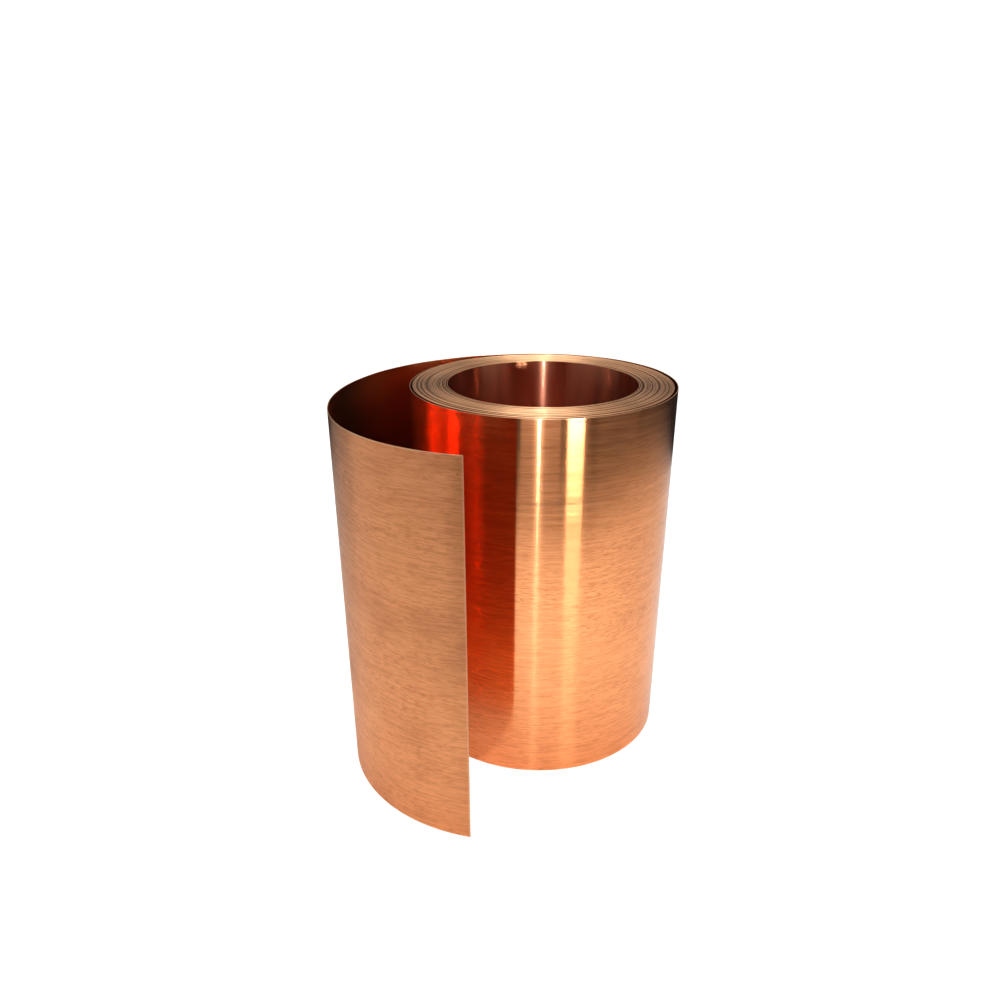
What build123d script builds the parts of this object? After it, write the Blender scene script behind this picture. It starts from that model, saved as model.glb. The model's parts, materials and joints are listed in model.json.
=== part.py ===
from build123d import *
import math
import os

# A roll of plain copper strip standing on end. The strip is one uncut length, wound
# anticlockwise on itself from the bore outwards, seen from above, with no core. Its last
# turn lies loose round the rest and its outer end has sprung open as a tail. The strip
# bends anywhere, so it is modelled as consecutive lengths that slide or hinge on each other.
# Origin: the roll's axis at its lower end. +Z is along the axis, upwards.

# The strip, in millimetres
strip_width = 200.0
strip_thickness = 0.4
cut_gap = 0.1  # between one modelled length and the next, so that they can move

# The tight coil
bore_radius = 50.0
turn_gap = 0.1  # air between neighbouring turns
inner_slack = 0.5  # extra air behind the innermost turn, which has eased off the rest
windings = 9
turns_per_winding = 4
seam_azimuth = 95.0  # where each winding ends, counted from +X

# The loose outer turn: how much larger than the coil's edge each quarter is bent
quarter_slack = (0.9, 0.3, 2.6, 0.8)

# The tail: each run's bend beyond the coil's edge, its sweep in degrees and its segments
tail_runs = (
    (96.0, 6.0, 1),
    (34.8, 91.0, 7),
    (19.4, 65.0, 4),
)


def bend(point, heading, radius, sweep):
    """One left-hand bend of the strip's middle surface: its centre, end point and end heading."""
    centre = point + Vector(radius, 0).rotate(Axis.Z, heading + 90)
    end = centre + Vector(radius, 0).rotate(Axis.Z, heading + sweep - 90)
    return centre, end, heading + sweep


def make_length(name, bends, point, heading):
    """Make one length of strip from its (radius, sweep) bends, starting at point.

    Returns the point and heading at its outer end, where the next length starts.
    """
    half = strip_thickness / 2
    last = len(bends) - 1
    with BuildPart() as piece:
        with BuildSketch(Plane.XY):
            with BuildLine():
                for number, (radius, sweep) in enumerate(bends):
                    centre, end, end_heading = bend(point, heading, radius, sweep)
                    trim = math.degrees(cut_gap / 2 / radius)
                    first_angle = heading - 90 + (trim if number == 0 else 0)
                    last_angle = end_heading - 90 - (trim if number == last else 0)
                    arc = last_angle - first_angle
                    inner = CenterArc(centre, radius - half, first_angle, arc)
                    outer = CenterArc(centre, radius + half, first_angle, arc)
                    if number == 0:
                        Line(inner @ 0, outer @ 0)
                    if number == last:
                        Line(inner @ 1, outer @ 1)
                    point, heading = end, end_heading
            make_face()
        extrude(amount=strip_width)
    piece.part.label = name
    export_step(piece.part, f"parts/{name}.step")
    return point, heading


os.makedirs("parts", exist_ok=True)

pitch = strip_thickness + turn_gap
coil_start = bore_radius + strip_thickness / 2  # middle surface at the strip's inner end
point = Vector(coil_start, 0).rotate(Axis.Z, seam_azimuth)
heading = seam_azimuth + 90
joints = []  # name, inner end and bends of each length that moves, from the bore outwards

# Tight coil: each half turn is a pitch / 2 larger than the one before it
radius = coil_start
for winding in range(1, windings + 1):
    bends = []
    for half_turn in range(2 * turns_per_winding):
        bends.append((radius, 180))
        easing = inner_slack if winding == 1 and half_turn < 2 else 0
        radius += (pitch + easing) / 2
    name = f"winding_{winding}"
    joints.append((name, point, bends))
    point, heading = make_length(name, bends, point, heading)

# Loose outer turn
coil_edge = radius
bends = [(coil_edge + slack, 90) for slack in quarter_slack]
point, heading = make_length("outer_turn", bends, point, heading)

# Tail
segment = 0
for slack, sweep, segments in tail_runs:
    for _ in range(segments):
        segment += 1
        bends = [(coil_edge + slack, sweep / segments)]
        name = f"tail_{segment:02d}"
        joints.append((name, point, bends))
        point, heading = make_length(name, bends, point, heading)

print(f"coil edge radius {coil_edge:.2f}, tail ends at ({point.X:.1f}, {point.Y:.1f})")
for name, start, bends in joints:
    run = sum(math.radians(sweep) * radius for radius, sweep in bends)
    print(f"{name} starts at ({start.X:.2f}, {start.Y:.2f}) and is {run:.1f} long")
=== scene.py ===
import bpy
import json
import math
import numpy as np
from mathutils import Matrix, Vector


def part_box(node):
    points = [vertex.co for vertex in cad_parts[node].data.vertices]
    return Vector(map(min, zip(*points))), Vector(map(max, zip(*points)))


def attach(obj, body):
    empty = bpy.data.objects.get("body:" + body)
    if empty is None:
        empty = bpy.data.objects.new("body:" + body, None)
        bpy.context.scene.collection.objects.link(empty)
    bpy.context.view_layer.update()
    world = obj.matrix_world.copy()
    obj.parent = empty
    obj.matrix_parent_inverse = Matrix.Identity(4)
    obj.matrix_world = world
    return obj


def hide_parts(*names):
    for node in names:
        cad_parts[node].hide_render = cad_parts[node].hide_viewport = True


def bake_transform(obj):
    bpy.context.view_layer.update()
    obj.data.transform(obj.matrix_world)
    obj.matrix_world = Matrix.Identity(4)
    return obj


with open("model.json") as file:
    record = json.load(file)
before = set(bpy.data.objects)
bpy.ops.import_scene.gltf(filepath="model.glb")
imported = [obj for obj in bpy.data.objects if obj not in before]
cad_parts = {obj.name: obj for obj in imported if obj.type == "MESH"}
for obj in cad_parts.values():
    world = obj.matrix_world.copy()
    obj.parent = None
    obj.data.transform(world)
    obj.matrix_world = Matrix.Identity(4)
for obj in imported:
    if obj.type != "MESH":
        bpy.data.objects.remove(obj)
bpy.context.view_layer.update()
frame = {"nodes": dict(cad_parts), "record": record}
print("frame in:", len(frame["nodes"]), "lengths of strip")

mm = 0.001
boreMount = next(mount for mount in frame["record"]["mounts"] if mount["name"] == "bore")

# how the strip is wound, the same way as the frame's own lengths
strip = {
    "boreRadius": boreMount["dims"]["r_mm"] * mm,
    "width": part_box("outer_turn")[1].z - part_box("outer_turn")[0].z,
    "thickness": 0.4 * mm,
    "turnGap": 0.1 * mm,
    "innerSlack": 0.5 * mm,  # room under the inner end, eased in over the first turn
    "windings": sum(name.startswith("winding_") for name in frame["nodes"]),
    "turnsPerWinding": 4,
    "seam": math.radians(95),
    "outerSlack": (0.9 * mm, 0.3 * mm, 2.6 * mm, 0.8 * mm),  # quarter by quarter
    # extra radius, degrees turned and number of lengths in each run of the tail
    "tailRuns": ((96.0 * mm, 6.0, 1), (34.8 * mm, 91.0, 7), (19.4 * mm, 65.0, 4)),
}


def windStrip():
    # every bend from the bore outwards, and where each named length starts and ends
    bends, spans, reached = [], {}, 0.0
    pitch = strip["thickness"] + strip["turnGap"]
    radius = strip["boreRadius"] + strip["thickness"] / 2
    for winding in range(1, strip["windings"] + 1):
        start = reached
        for half in range(2 * strip["turnsPerWinding"]):
            bends.append((radius, math.pi))
            reached += radius * math.pi
            easing = strip["innerSlack"] if winding == 1 and half < 2 else 0
            radius += (pitch + easing) / 2
        spans[f"winding_{winding}"] = (start, reached)
    edge, start = radius, reached
    for slack in strip["outerSlack"]:
        bends.append((edge + slack, math.pi / 2))
        reached += (edge + slack) * math.pi / 2
    spans["outer_turn"] = (start, reached)
    number = 0
    for slack, sweep, lengths in strip["tailRuns"]:
        for _ in range(lengths):
            number += 1
            start, turn = reached, math.radians(sweep / lengths)
            bends.append((edge + slack, turn))
            reached += (edge + slack) * turn
            spans[f"tail_{number:02d}"] = (start, reached)
    return bends, spans, number


bends, spans, tailCount = windStrip()
stripLength = spans[f"tail_{tailCount:02d}"][1]
tailStart = spans["tail_01"][0]


def placeBends():
    # centre x and y, radius, first angle and first distance of each bend, for looking places up
    rows, reached = [], 0.0
    point = Vector((math.cos(strip["seam"]), math.sin(strip["seam"]))) * bends[0][0]
    heading = strip["seam"] + math.pi / 2
    for radius, sweep in bends:
        centre = point + Vector((-math.sin(heading), math.cos(heading))) * radius
        rows.append((centre.x, centre.y, radius, heading - math.pi / 2, reached))
        heading += sweep
        reached += radius * sweep
        point = centre + Vector((math.sin(heading), -math.cos(heading))) * radius
    return np.array(rows)


bendTable = placeBends()
print(f"strip worked out: {stripLength:.2f} m in {len(bends)} bends")


def placeAlong(distance):
    # middle of the sheet and the direction it faces outwards, at each distance from the bore
    distance = np.atleast_1d(np.asarray(distance, float))
    row = np.clip(np.searchsorted(bendTable[:, 4], distance, side="right") - 1, 0, len(bends) - 1)
    x, y, radius, firstAngle, start = bendTable[row].T
    angle = firstAngle + (distance - start) / radius
    facing = np.stack([np.cos(angle), np.sin(angle)], 1)
    return np.stack([x, y], 1) + radius[:, None] * facing, facing


sheet = {
    "edgeRound": 0.12 * mm,
    "edgeWander": 0.10 * mm,  # slit edges are never quite level
    "wanderWaves": (0.031, 0.083, 0.19, 0.47),  # metres
    "topPhase": 1.7,
    "lowPhase": 0.4,
    "lowShare": 0.3,  # the lower edge has been pressed flatter by standing on it
    "wanderDepth": 8,  # the higher, the closer to the edge the wander stays
    "coilRows": 3,
    "coilStep": 1.15 * math.radians(2.5) * strip["boreRadius"],
    "looseRows": 40,
    "looseStep": 0.9 * mm,
}
faceOutside, faceInside, faceEdge = 0, 1, 2  # the sheet's three finishes, in this order


def sheetProfile(rows):
    # once round the sheet's section: out, up, facing out, facing up, and which face follows
    half, width, curl = strip["thickness"] / 2, strip["width"], sheet["edgeRound"]
    levels = np.linspace(curl, width - curl, rows + 1)
    slant, near = math.sqrt(0.5), 0.3 * curl
    outer = [(half, z, 1, 0, faceOutside) for z in levels[:-1]]
    topEdge = [
        (half, levels[-1], 1, 0, faceEdge),
        (half - near, width - near, slant, slant, faceEdge),
        (half - curl, width, 0, 1, faceEdge),
        (curl - half, width, 0, 1, faceEdge),
        (near - half, width - near, -slant, slant, faceEdge),
    ]
    inner = [(-half, z, -1, 0, faceInside) for z in levels[:0:-1]]
    lowEdge = [
        (-half, curl, -1, 0, faceEdge),
        (near - half, near, -slant, -slant, faceEdge),
        (curl - half, 0, 0, -1, faceEdge),
        (half - curl, 0, 0, -1, faceEdge),
        (half - near, near, slant, -slant, faceEdge),
    ]
    return np.array(outer + topEdge + inner + lowEdge)


def edgeWander(distance, phase):
    waves = sheet["wanderWaves"]
    total = sum(np.sin(distance * 2 * math.pi / wave + phase * (i + 1)) for i, wave in enumerate(waves))
    return sheet["edgeWander"] * total / len(waves)


def wanderingHeight(along, up):
    # height of every point: the two edges wander a little, and the middle stays level
    top = edgeWander(along, sheet["topPhase"])[:, None]
    low = -sheet["lowShare"] * abs(edgeWander(along, sheet["lowPhase"]))[:, None]
    nearEdge = (abs(up / strip["width"] - 0.5) * 2) ** sheet["wanderDepth"]
    return np.maximum(up[None, :] + np.where(up > strip["width"] / 2, top, low) * nearEdge, 0)


def sheetFaces(count, ring, finish):
    # four-sided faces along the sheet and one at each end, with the finish that each has
    faces, slots = [], []
    for i in range(count - 1):
        for j in range(ring):
            k = (j + 1) % ring
            faces.append((i * ring + j, (i + 1) * ring + j, (i + 1) * ring + k, i * ring + k))
            slots.append(int(finish[j]))
    lastRing = (count - 1) * ring
    faces.append(tuple(range(ring)))
    faces.append(tuple(lastRing + j for j in reversed(range(ring))))
    return faces, slots + [faceEdge, faceEdge]


def sheetPiece(name, start, end, rows, step, finishes):
    # one length of the real strip as a closed thin sheet, mapped in metres along and up
    count = max(2, int(round((end - start) / step))) + 1
    along = np.linspace(start, end, count)
    middle, facing = placeAlong(along)
    profile = sheetProfile(rows)
    ring = len(profile)
    out, up, faceOut, faceUp, finish = profile.T
    flat = middle[:, None, :] + out[None, :, None] * facing[:, None, :]
    height = wanderingHeight(along, up)
    points = np.concatenate([flat, height[:, :, None]], 2).reshape(-1, 3)
    normalsOut = faceOut[None, :, None] * facing[:, None, :]
    normalsUp = np.broadcast_to(faceUp[None, :, None], (count, ring, 1))
    normals = np.concatenate([normalsOut, normalsUp], 2).reshape(-1, 3)
    faces, slots = sheetFaces(count, ring, finish)

    mesh = bpy.data.meshes.new(name)
    mesh.from_pydata(points.tolist(), [], faces)
    mesh.polygons.foreach_set("material_index", slots)
    mesh.polygons.foreach_set("use_smooth", [True] * len(faces))
    corner = np.empty(len(mesh.loops), int)
    mesh.loops.foreach_get("vertex_index", corner)
    cornerNormals = normals[corner]
    direction = np.stack([-facing[:, 1], facing[:, 0], np.zeros(count)], 1)
    cornerNormals[-2 * ring:-ring] = -direction[0]
    cornerNormals[-ring:] = direction[-1]
    across = up + (strip["thickness"] / 2 - out) * (faceUp != 0)
    uv = np.stack([along[corner // ring], across[corner % ring]], 1)
    mesh.uv_layers.new(name="stripMap").uv.foreach_set("vector", uv.astype(np.float32).ravel())
    mesh.normals_split_custom_set(cornerNormals.tolist())
    piece = bpy.data.objects.new(name, mesh)
    bpy.context.scene.collection.objects.link(piece)
    for material in finishes:
        mesh.materials.append(material)
    return piece


def addNode(tree, kind, inputs=(), **settings):
    new = tree.nodes.new(kind)
    for key, value in settings.items():
        setattr(new, key, value)
    for key, value in dict(inputs).items():
        if isinstance(value, bpy.types.NodeSocket):
            tree.links.new(value, new.inputs[key])
        else:
            new.inputs[key].default_value = value
    return new


def mathNode(tree, operation, *values, clamp=False):
    inputs = dict(enumerate(values))
    return addNode(tree, "ShaderNodeMath", inputs, operation=operation, use_clamp=clamp).outputs[0]


def vectorNode(tree, operation, *values):
    return addNode(tree, "ShaderNodeVectorMath", dict(enumerate(values)), operation=operation)


def fadeNode(tree, value, low, high, outLow=0.0, outHigh=1.0):
    inputs = {"Value": value, "From Min": low, "From Max": high, "To Min": outLow, "To Max": outHigh}
    return addNode(tree, "ShaderNodeMapRange", inputs, interpolation_type="SMOOTHSTEP").outputs[0]


def mixColour(tree, factor, a, b):
    return addNode(tree, "ShaderNodeMix", {0: factor, 6: a, 7: b}, data_type="RGBA").outputs[2]


def noiseNode(tree, vector, detail=2.0, rough=0.5):
    inputs = {"Vector": vector, "Scale": 1.0, "Detail": detail, "Roughness": rough}
    return addNode(tree, "ShaderNodeTexNoise", inputs).outputs["Fac"]


def stripMap(tree):
    # metres along the strip from the bore, and metres up from its lower edge
    uv = addNode(tree, "ShaderNodeUVMap", uv_map="stripMap").outputs[0]
    return addNode(tree, "ShaderNodeSeparateXYZ", {0: uv}).outputs


def stripPlace(tree, spread):
    # the strip's map stretched: spread is how many features a metre holds along and across
    place = stripMap(tree)
    stretched = {way: mathNode(tree, "MULTIPLY", place[way], spread[way]) for way in (0, 1)}
    return addNode(tree, "ShaderNodeCombineXYZ", stretched).outputs[0]


def stripNoise(tree, spread, detail=2.0, rough=0.5):
    return noiseNode(tree, stripPlace(tree, spread), detail, rough)


def wavyPlace(tree, spread, drift, amount):
    # the same stretch, with its rows pushed up and down by a slow noise
    push = mathNode(tree, "MULTIPLY", stripNoise(tree, drift), amount)
    shift = addNode(tree, "ShaderNodeCombineXYZ", {1: push}).outputs[0]
    return vectorNode(tree, "ADD", stripPlace(tree, spread), shift).outputs[0]


def newGroup(name, inputs, outputs):
    group = bpy.data.node_groups.new(name, "ShaderNodeTree")
    for label, default in inputs.items():
        socket = group.interface.new_socket(label, in_out="INPUT", socket_type="NodeSocketFloat")
        socket.default_value = default
    for label in outputs:
        group.interface.new_socket(label, in_out="OUTPUT", socket_type="NodeSocketFloat")
    return group, group.nodes.new("NodeGroupInput"), group.nodes.new("NodeGroupOutput")


# here and below a spread such as lines or waves is features per metre along and across the strip,
# and a fade is where a mask starts to show and where it is full
grain = {
    "lines": (7.0, 1600.0),
    "coarse": (3.0, 330.0),
    "coarseShare": 1.5,
    "waves": (26.0, 9.0),
    "waveShare": 40.0,
    "toneShare": 0.6,
    "hairs": (30.0, 420.0),
    "hairDrift": (12.0, 9.0),
    "hairPush": 3.0,
    "hairWidth": 0.06,
    "streaks": (50.0, 1500.0),
    "streakFade": (0.40, 0.66),
    "streakShare": 0.7,
}


def makeRolledGrain():
    # fine lines that the rolls leave along the strip, the slow waves under them, and dark hairlines
    group, into, out = newGroup("rolledGrain", {"Fine": 1.0, "Waves": 1.0}, ("Height", "Tone", "Lines"))

    def centred(noise, amount):
        return mathNode(group, "MULTIPLY", mathNode(group, "SUBTRACT", noise, 0.5), amount)

    fine = centred(stripNoise(group, grain["lines"], 3.0, 0.6), into.outputs["Fine"])
    broad = centred(stripNoise(group, grain["coarse"]), into.outputs["Fine"])
    slow = centred(stripNoise(group, grain["waves"], 1.0, 0.4), into.outputs["Waves"])
    texture = mathNode(group, "ADD", fine, mathNode(group, "MULTIPLY", broad, grain["coarseShare"]))
    height = mathNode(group, "ADD", texture, mathNode(group, "MULTIPLY", slow, grain["waveShare"]))
    tone = mathNode(group, "ADD", mathNode(group, "MULTIPLY", texture, grain["toneShare"]), 0.5)

    bent = wavyPlace(group, grain["hairs"], grain["hairDrift"], grain["hairPush"])
    contour = mathNode(group, "ABSOLUTE", mathNode(group, "SUBTRACT", noiseNode(group, bent, 2.0, 0.6), 0.5))
    hairs = fadeNode(group, contour, 0.0, grain["hairWidth"], 1.0, 0.0)
    streaks = fadeNode(group, stripNoise(group, grain["streaks"], 2.0, 0.6), *grain["streakFade"])
    lines = mathNode(group, "MAXIMUM", hairs, mathNode(group, "MULTIPLY", streaks, grain["streakShare"]))

    group.links.new(height, out.inputs["Height"])
    group.links.new(tone, out.inputs["Tone"])
    group.links.new(lines, out.inputs["Lines"])
    return group


rollChatter = {
    "dashes": (260.0, 1300.0),
    "drift": (14.0, 10.0),
    "push": 9.0,
    "level": 0.63,
    "levelDrop": 0.24,  # by how much full Density lowers the level
    "softness": 0.16,
    "patches": (12.0, 30.0),
    "patchFade": (0.32, 0.62),
    "patchLeast": 0.3,
    "rows": (2.0, 240.0),
    "rowFade": (0.35, 0.6),
    "rowLeast": 0.4,
}


def makeRollerMarks():
    # short dark dashes in wavy rows, where the strip has chattered in the rolls
    group, into, out = newGroup("rollerMarks", {"Density": 0.5}, ("Mask",))
    place = wavyPlace(group, rollChatter["dashes"], rollChatter["drift"], rollChatter["push"])
    dashes = noiseNode(group, place, 2.0, 0.6)
    drop = mathNode(group, "MULTIPLY", into.outputs["Density"], rollChatter["levelDrop"])
    level = mathNode(group, "SUBTRACT", rollChatter["level"], drop)
    marks = fadeNode(group, dashes, level, mathNode(group, "ADD", level, rollChatter["softness"]))
    patches = stripNoise(group, rollChatter["patches"], 2.0, 0.6)
    patches = fadeNode(group, patches, *rollChatter["patchFade"], rollChatter["patchLeast"], 1.0)
    rows = stripNoise(group, rollChatter["rows"], 2.0, 0.6)
    rows = fadeNode(group, rows, *rollChatter["rowFade"], rollChatter["rowLeast"], 1.0)
    where = mathNode(group, "MULTIPLY", patches, rows)
    group.links.new(mathNode(group, "MULTIPLY", marks, where), out.inputs["Mask"])
    return group


hands = {
    "clouds": (26.0, 22.0),
    "cloudFade": (0.46, 0.70),
    "streaks": (60.0, 4.0),
    "streakFade": (0.42, 0.72),
}


def makeHandling():
    # hand smudges and thin brown tarnish
    group, into, out = newGroup("handling", {"Smudge": 0.4, "Tarnish": 0.4}, ("Smudge", "Tarnish"))
    clouds = fadeNode(group, stripNoise(group, hands["clouds"], 5.0, 0.6), *hands["cloudFade"])
    streaks = fadeNode(group, stripNoise(group, hands["streaks"], 3.0, 0.55), *hands["streakFade"])
    for label, mask in (("Smudge", clouds), ("Tarnish", streaks)):
        group.links.new(mathNode(group, "MULTIPLY", mask, into.outputs[label]), out.inputs[label])
    return group


slit = {
    "ragged": (120.0, 0.0),
    "raggedFade": (0.3, 0.7),
    "reachSpread": (0.4, 1.5),  # least and most, as shares of the reach
}


def makePaintedEdgeHighlight():
    # pale line painted beside the two slit edges and the free end, a painted highlight along the edges,
    # ragged by a noise
    group, into, out = newGroup("paintedEdgeHighlight", {"Reach": 0.8 * mm, "Amount": 0.6}, ("Mask",))
    along, up = stripMap(group)[:2]
    nearest = mathNode(group, "MINIMUM", up, mathNode(group, "SUBTRACT", strip["width"], up))
    nearest = mathNode(group, "MINIMUM", nearest, mathNode(group, "SUBTRACT", stripLength, along))
    ragged = stripNoise(group, slit["ragged"], 3.0, 0.6)
    ragged = fadeNode(group, ragged, *slit["raggedFade"], *slit["reachSpread"])
    reach = mathNode(group, "MULTIPLY", into.outputs["Reach"], ragged)
    close = fadeNode(group, mathNode(group, "DIVIDE", nearest, reach), 0.0, 1.0, 1.0, 0.0)
    group.links.new(mathNode(group, "MULTIPLY", close, into.outputs["Amount"]), out.inputs["Mask"])
    return group


rolledGrain = makeRolledGrain()
rollerMarks = makeRollerMarks()
handling = makeHandling()
paintedEdgeHighlight = makePaintedEdgeHighlight()



def placeGroup(tree, group, **inputs):
    node = addNode(tree, "ShaderNodeGroup", node_tree=group)
    for label, value in inputs.items():
        if isinstance(value, bpy.types.NodeSocket):
            tree.links.new(value, node.inputs[label])
        else:
            node.inputs[label].default_value = value
    return node.outputs


def newFinish(name, look):
    material = bpy.data.materials.new(name)
    material.use_nodes = True
    shader = material.node_tree.nodes["Principled BSDF"]
    shader.inputs["Metallic"].default_value = 1.0
    shader.inputs["Anisotropic"].default_value = look["anisotropic"]
    return material, material.node_tree, shader


bumpDepth = 0.1 * mm


def addBump(tree, shader, height, strength):
    bump = addNode(tree, "ShaderNodeBump", {"Height": height, "Strength": strength, "Distance": bumpDepth})
    tree.links.new(bump.outputs[0], shader.inputs["Normal"])


def spreadGlossUpwards(tree, shader):
    # rolled metal draws a light out into a streak across its grain, which is upwards here
    upwards = addNode(tree, "ShaderNodeCombineXYZ", {2: 1.0}).outputs[0]
    tree.links.new(upwards, shader.inputs["Tangent"])


outside = {
    "colour": (0.96, 0.44, 0.215, 1),
    "tailColour": (0.96, 0.46, 0.23, 1),
    "tarnished": (0.62, 0.235, 0.10, 1),
    "smudged": (0.80, 0.36, 0.19, 1),
    # colour of the painted highlight along the edges
    "edgeHighlightColour": (0.98, 0.66, 0.46, 1),
    "roughness": 0.165,
    "tailRoughness": 0.34,  # the free end has been handled and is duller
    "handledFrom": (-0.03, 0.08),  # metres either side of where the tail starts
    "anisotropic": 1.0,
    "waves": 0.5,
    "grainBump": 0.010,
    "grainRoughness": 0.10,
    "lines": 0.50,
    "markDensity": 0.62,
    "marks": 0.6,
    "markRoughness": 0.02,
    "markDepth": 0.05,
    "smudge": 0.12,
    "tailSmudge": 0.5,
    "smudgeRoughness": 0.10,
    "tarnish": 0.04,
    "edgeReach": 0.9 * mm,
    "edgeHighlightShare": 0.55,
}


def makeOutside():
    material, tree, shader = newFinish("rolledCopper", outside)
    handledFrom, handledTo = (tailStart + shift for shift in outside["handledFrom"])
    handled = fadeNode(tree, stripMap(tree)[0], handledFrom, handledTo)
    lines = placeGroup(tree, rolledGrain, Fine=1.0, Waves=outside["waves"])
    marks = placeGroup(tree, rollerMarks, Density=outside["markDensity"])["Mask"]
    smudge = fadeNode(tree, handled, 0.0, 1.0, outside["smudge"], outside["tailSmudge"])
    touched = placeGroup(tree, handling, Smudge=smudge, Tarnish=outside["tarnish"])
    edgeHighlit = placeGroup(tree, paintedEdgeHighlight, Reach=outside["edgeReach"], Amount=outside["edgeHighlightShare"])["Mask"]

    markShade = mathNode(tree, "MULTIPLY", marks, outside["marks"])
    lineShade = mathNode(tree, "MULTIPLY", lines["Lines"], outside["lines"])
    colour = mixColour(tree, handled, outside["colour"], outside["tailColour"])
    colour = mixColour(tree, touched["Tarnish"], colour, outside["tarnished"])
    colour = mixColour(tree, touched["Smudge"], colour, outside["smudged"])
    colour = mixColour(tree, markShade, colour, outside["tarnished"])
    colour = mixColour(tree, lineShade, colour, outside["tarnished"])
    # painted highlight along the slit edges and the free end
    colour = mixColour(tree, edgeHighlit, colour, outside["edgeHighlightColour"])
    tree.links.new(colour, shader.inputs["Base Color"])

    rough = fadeNode(tree, handled, 0.0, 1.0, outside["roughness"], outside["tailRoughness"])
    tone = mathNode(tree, "SUBTRACT", lines["Tone"], 0.5)
    shares = ((touched["Smudge"], "smudgeRoughness"), (tone, "grainRoughness"), (marks, "markRoughness"))
    for mask, share in shares:
        rough = mathNode(tree, "ADD", rough, mathNode(tree, "MULTIPLY", mask, outside[share]))
    tree.links.new(rough, shader.inputs["Roughness"])

    dents = mathNode(tree, "MULTIPLY", marks, outside["markDepth"])
    addBump(tree, shader, mathNode(tree, "SUBTRACT", lines["Height"], dents), outside["grainBump"])
    spreadGlossUpwards(tree, shader)
    return material


inside = {
    "colour": (0.99, 0.46, 0.19, 1),
    "tarnished": (0.45, 0.12, 0.05, 1),
    # colour of the painted highlight along the edges
    "edgeHighlightColour": (0.95, 0.58, 0.38, 1),
    "roughness": 0.20,
    "anisotropic": 1.0,
    "fine": 0.8,
    "waves": 0.6,
    "grainBump": 0.006,
    "smudge": 0.2,
    "smudgeRoughness": 0.15,
    "tarnish": 0.05,
    "edgeReach": 0.7 * mm,
    "edgeHighlightShare": 0.4,
}
# the wall of the bore gets a darker colour and a heavy mix of the tarnished colour, a painted shade inside
# the bore
shadedBoreWall = dict(inside, colour=(0.80, 0.38, 0.25, 1), roughness=0.22, tarnish=0.5)


def makeInside(name, look):
    material, tree, shader = newFinish(name, look)
    lines = placeGroup(tree, rolledGrain, Fine=look["fine"], Waves=look["waves"])
    touched = placeGroup(tree, handling, Smudge=look["smudge"], Tarnish=look["tarnish"])
    edgeHighlit = placeGroup(tree, paintedEdgeHighlight, Reach=look["edgeReach"], Amount=look["edgeHighlightShare"])["Mask"]
    colour = mixColour(tree, touched["Tarnish"], look["colour"], look["tarnished"])
    # painted highlight along the slit edges and the free end
    colour = mixColour(tree, edgeHighlit, colour, look["edgeHighlightColour"])
    tree.links.new(colour, shader.inputs["Base Color"])
    smudged = mathNode(tree, "MULTIPLY", touched["Smudge"], look["smudgeRoughness"])
    tree.links.new(mathNode(tree, "ADD", look["roughness"], smudged), shader.inputs["Roughness"])
    addBump(tree, shader, lines["Height"], look["grainBump"])
    spreadGlossUpwards(tree, shader)
    return material


edge = {
    "bright": (0.95, 0.57, 0.33, 1),
    # dark colour of some laps: partly their own tone, partly painted shade of the gaps between laps
    "lapToneAndGapShade": (0.20, 0.075, 0.03, 1),
    "roughness": 0.36,
    "dullRoughness": 0.15,
    "anisotropic": 0.75,
    "quarterTurn": 0.25,
    "laps": (1.2, 0.0),
    "lapFade": (0.47, 0.59),
    "nicks": (900.0, 0.0),
    "nickShade": 0.5,
    "nickBump": 0.12,
}


def makeEdge():
    # the slit edge: pale sheared metal with some laps painted dark by a noise, partly a tone that differs
    # from lap to lap and partly painted shade of the gaps between laps
    material, tree, shader = newFinish("slitCopper", edge)
    lapToneAndGapShade = fadeNode(tree, stripNoise(tree, edge["laps"], 3.0, 0.65), *edge["lapFade"])
    nicks = stripNoise(tree, edge["nicks"], 2.0, 0.6)
    nickShade = mathNode(tree, "MULTIPLY", mathNode(tree, "SUBTRACT", nicks, 0.5), edge["nickShade"])
    shade = mathNode(tree, "ADD", lapToneAndGapShade, nickShade, clamp=True)
    tree.links.new(mixColour(tree, shade, edge["bright"], edge["lapToneAndGapShade"]), shader.inputs["Base Color"])
    duller = mathNode(tree, "MULTIPLY", shade, edge["dullRoughness"])
    tree.links.new(mathNode(tree, "ADD", edge["roughness"], duller), shader.inputs["Roughness"])
    addBump(tree, shader, nicks, edge["nickBump"])
    stripWay = addNode(tree, "ShaderNodeTangent", direction_type="UV_MAP", uv_map="stripMap").outputs[0]
    tree.links.new(stripWay, shader.inputs["Tangent"])
    shader.inputs["Anisotropic Rotation"].default_value = edge["quarterTurn"]
    return material


# outside, inside and edge, in the order of the face numbers above
sheetFinishes = [makeOutside(), makeInside("innerCopper", inside), makeEdge()]
# the bore wall's finish carries the painted shade inside the bore
boreFinishes = [sheetFinishes[0], makeInside("boreCopperPaintedShade", shadedBoreWall), sheetFinishes[2]]
print("finishes made")


def coilPiece(name, start, end, finishes=sheetFinishes):
    return sheetPiece(name, start, end, sheet["coilRows"], sheet["coilStep"], finishes)


def loosePiece(name, start, end):
    return sheetPiece(name, start, end, sheet["looseRows"], sheet["looseStep"], sheetFinishes)


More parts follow.
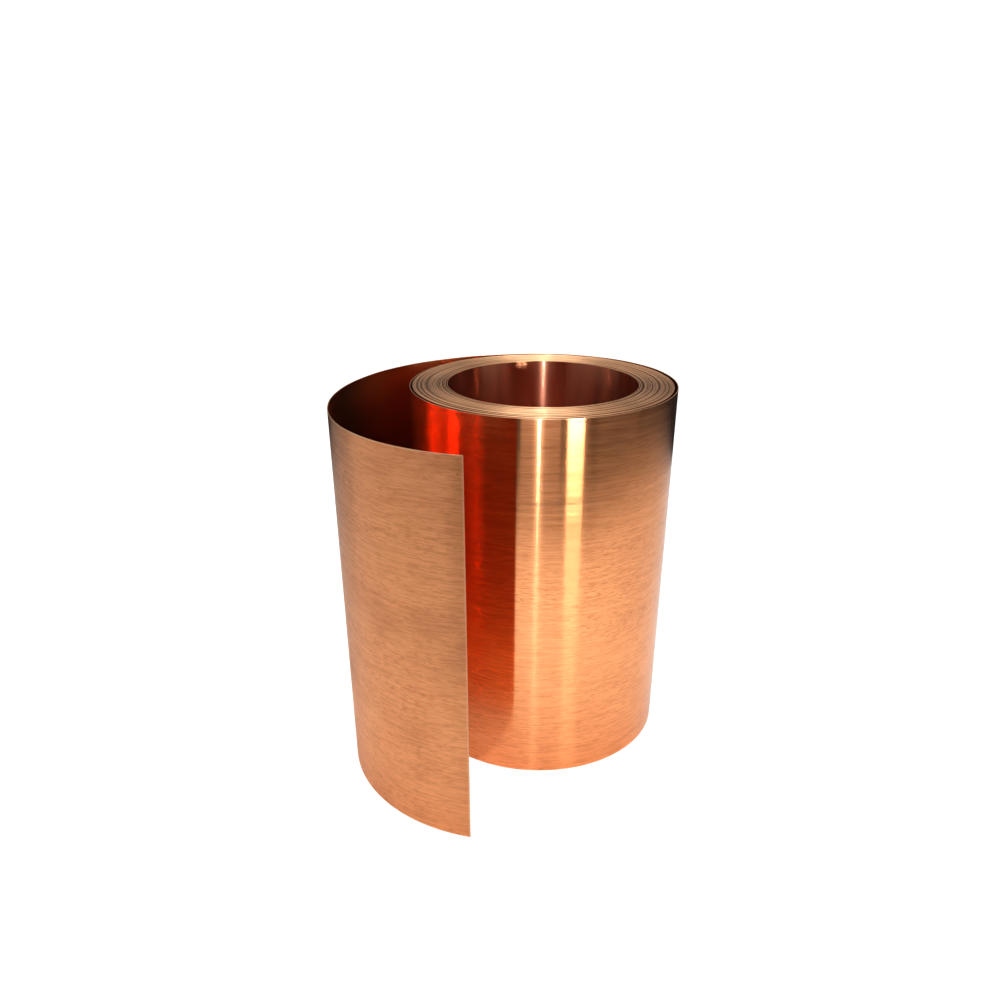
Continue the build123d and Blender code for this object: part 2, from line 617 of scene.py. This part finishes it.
def makeCoil():
    # each winding's first half turn is made as a separate piece, attached to neither winding
    for number in range(1, strip["windings"] + 1):
        name = f"winding_{number}"
        start, end = spans[name]
        firstRadius = bends[2 * strip["turnsPerWinding"] * (number - 1)][0]
        lapEnd = start if number == 1 else start + math.pi * firstRadius
        finishes = boreFinishes if number == 1 else sheetFinishes
        piece = coilPiece(f"winding{number}Sheet", lapEnd, end, finishes)
        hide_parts(name)
        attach(piece, name)
        if number > 1:
            bridge = coilPiece(f"winding{number}Lap", start, lapEnd)
            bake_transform(bridge)


def makeOuterTurn():
    # its first quarter is made as a separate piece, attached neither to it nor to the last winding
    start, end = spans["outer_turn"]
    firstRadius = bends[2 * strip["turnsPerWinding"] * strip["windings"]][0]
    lapEnd = start + math.pi / 2 * firstRadius
    tailLap = (spans["tail_01"][1] - spans["tail_01"][0]) / 2
    bridge = loosePiece("outerTurnLap", start, lapEnd)
    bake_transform(bridge)
    piece = loosePiece("outerTurnSheet", lapEnd, end - tailLap)
    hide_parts("outer_turn")
    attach(piece, "outer_turn")


def makeTail():
    # each piece runs from the middle of one length to the middle of the next, across the hinge between
    previous = "outer_turn"
    begin = tailStart - (spans["tail_01"][1] - tailStart) / 2
    for number in range(1, tailCount + 1):
        name = f"tail_{number:02d}"
        middle = sum(spans[name]) / 2
        piece = loosePiece(f"tailSheet{number:02d}", begin, middle)
        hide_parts(name)
        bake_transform(piece)
        previous, begin = name, middle
    freeEnd = loosePiece("tailFreeEnd", begin, stripLength)
    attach(freeEnd, previous)


makeCoil()
makeOuterTurn()
makeTail()

floorLook = {
    "size": 6.0,
    "shadow": 0.12,  # how much of the strip's own shadow the eye is shown
    "shadowFade": (0.15, 0.55),
    "white": (0.9, 0.9, 0.9, 1),
    # the metal sees a pale table top and a dark room beyond it
    "pale": 0.88,
    "dark": 0.05,
    "tableCentre": (-0.15, 0.07, 0),
    "tableSize": (0.70, 0.46, 1),
    "tableFade": 0.12,
}


def makeFloor():
    bpy.ops.mesh.primitive_plane_add(size=floorLook["size"])
    floor = bpy.context.object
    floor.name = "paleFloor"
    material = bpy.data.materials.new("paleFloor")
    material.use_nodes = True
    tree = material.node_tree
    tree.nodes.clear()
    spot = addNode(tree, "ShaderNodeNewGeometry").outputs["Position"]
    fromCentre = vectorNode(tree, "SUBTRACT", spot, floorLook["tableCentre"]).outputs[0]
    inTables = vectorNode(tree, "DIVIDE", fromCentre, floorLook["tableSize"]).outputs[0]
    outwards = vectorNode(tree, "LENGTH", inTables).outputs["Value"]
    table = fadeNode(tree, outwards, 1 + floorLook["tableFade"], 1 - floorLook["tableFade"])
    shade = fadeNode(tree, table, 0.0, 1.0, floorLook["dark"], floorLook["pale"])
    tone = addNode(tree, "ShaderNodeCombineColor", {0: shade, 1: shade, 2: shade}).outputs[0]
    reflected = addNode(tree, "ShaderNodeBsdfDiffuse", {"Color": tone}).outputs[0]
    white = addNode(tree, "ShaderNodeBsdfDiffuse", {"Color": floorLook["white"]}).outputs[0]
    glow = addNode(tree, "ShaderNodeEmission", {"Color": (1, 1, 1, 1), "Strength": 1.0}).outputs[0]
    reach = vectorNode(tree, "LENGTH", spot).outputs["Value"]
    share = fadeNode(tree, reach, *floorLook["shadowFade"], floorLook["shadow"], 0.0)
    seen = addNode(tree, "ShaderNodeMixShader", {0: share, 1: glow, 2: white}).outputs[0]
    eye = addNode(tree, "ShaderNodeLightPath").outputs["Is Camera Ray"]
    both = addNode(tree, "ShaderNodeMixShader", {0: eye, 1: reflected, 2: seen}).outputs[0]
    addNode(tree, "ShaderNodeOutputMaterial", {0: both})
    floor.data.materials.append(material)


room = {
    "colour": (1, 0.98, 0.95, 1),
    "glow": 0.03,
    "backGlow": 0.5,  # a pale wall behind, above the table
    "backFade": (0.0, 0.6),
    "heightFade": (0.1, 0.35),
}


def makeWorld():
    world = bpy.data.worlds.new("studio")
    bpy.context.scene.world = world
    world.use_nodes = True
    tree = world.node_tree
    tree.nodes.clear()
    generated = addNode(tree, "ShaderNodeTexCoord").outputs["Generated"]
    way = addNode(tree, "ShaderNodeSeparateXYZ", {0: generated}).outputs
    backwards = fadeNode(tree, way[1], *room["backFade"])
    above = fadeNode(tree, way[2], *room["heightFade"])
    behind = mathNode(tree, "MULTIPLY", backwards, above)
    strength = fadeNode(tree, behind, 0.0, 1.0, room["glow"], room["backGlow"])
    dim = addNode(tree, "ShaderNodeBackground", {"Color": room["colour"], "Strength": strength}).outputs[0]
    white = addNode(tree, "ShaderNodeBackground", {"Color": (1, 1, 1, 1), "Strength": 1.0}).outputs[0]
    eye = addNode(tree, "ShaderNodeLightPath").outputs["Is Camera Ray"]
    both = addNode(tree, "ShaderNodeMixShader", {0: eye, 1: dim, 2: white}).outputs[0]
    addNode(tree, "ShaderNodeOutputWorld", {0: both})


# bearing in degrees from straight towards the camera, positive to its right; the rest in metres and watts
lamps = {
    "sideSoftbox": {
        "bearing": 24.6, "distance": 0.70, "height": 0.17,
        "size": (0.15, 0.12), "power": 2.2, "colour": (1, 0.95, 0.79),
    },
    "slimStrip": {
        "bearing": -3.8, "distance": 0.75, "height": 0.46,
        "size": (0.012, 0.90), "power": 3.0, "colour": (1, 1, 1),
    },
    "frontGlow": {
        "bearing": -2.5, "distance": 0.85, "height": 0.15,
        "size": (0.48, 0.30), "power": 0.4, "colour": (1, 0.96, 0.90),
    },
    "rightFill": {
        "bearing": 62, "distance": 1.3, "height": 0.65,
        "size": (1.0, 1.1), "power": 2.6, "colour": (1, 0.96, 0.92),
    },
    "leftSoftbox": {
        "bearing": -72, "distance": 1.3, "height": 0.7,
        "size": (2.2, 1.2), "power": 5.2, "colour": (1, 0.98, 0.95),
    },
    "overhead": {
        "bearing": 180, "distance": 0.15, "height": 1.7,
        "size": (1.0, 1.0), "power": 15, "colour": (1, 1, 1),
    },
}


def makeLamp(name, lamp):
    data = bpy.data.lights.new(name, "AREA")
    data.shape = "RECTANGLE"
    data.size, data.size_y = lamp["size"]
    data.energy, data.color = lamp["power"], lamp["colour"]
    turn, distance = math.radians(lamp["bearing"]), lamp["distance"]
    place = Vector((math.sin(turn) * distance, -math.cos(turn) * distance, lamp["height"]))
    middle = Vector((0, 0, strip["width"] / 2))
    light = bpy.data.objects.new(name, data)
    light.location = place
    light.rotation_euler = (middle - place).to_track_quat("-Z", "Y").to_euler()
    bpy.context.scene.collection.objects.link(light)


camera = {
    "place": (-22.4 * mm, -456.7 * mm, 310.2 * mm),
    "tiltDown": math.radians(26.39),
    "lens": 31.31,
    "shiftUp": 0.08,
}


def makeCamera():
    data = bpy.data.cameras.new("studioCamera")
    data.lens, data.shift_y = camera["lens"], camera["shiftUp"]
    eye = bpy.data.objects.new("studioCamera", data)
    eye.location = camera["place"]
    eye.rotation_euler = (math.pi / 2 - camera["tiltDown"], 0, 0)
    bpy.context.scene.collection.objects.link(eye)
    bpy.context.scene.camera = eye


makeFloor()
makeWorld()
for name, lamp in lamps.items():
    makeLamp(name, lamp)
makeCamera()
bpy.context.scene.view_settings.view_transform = "Standard"
bpy.context.scene.view_settings.look = "Medium High Contrast"
print("studio set")
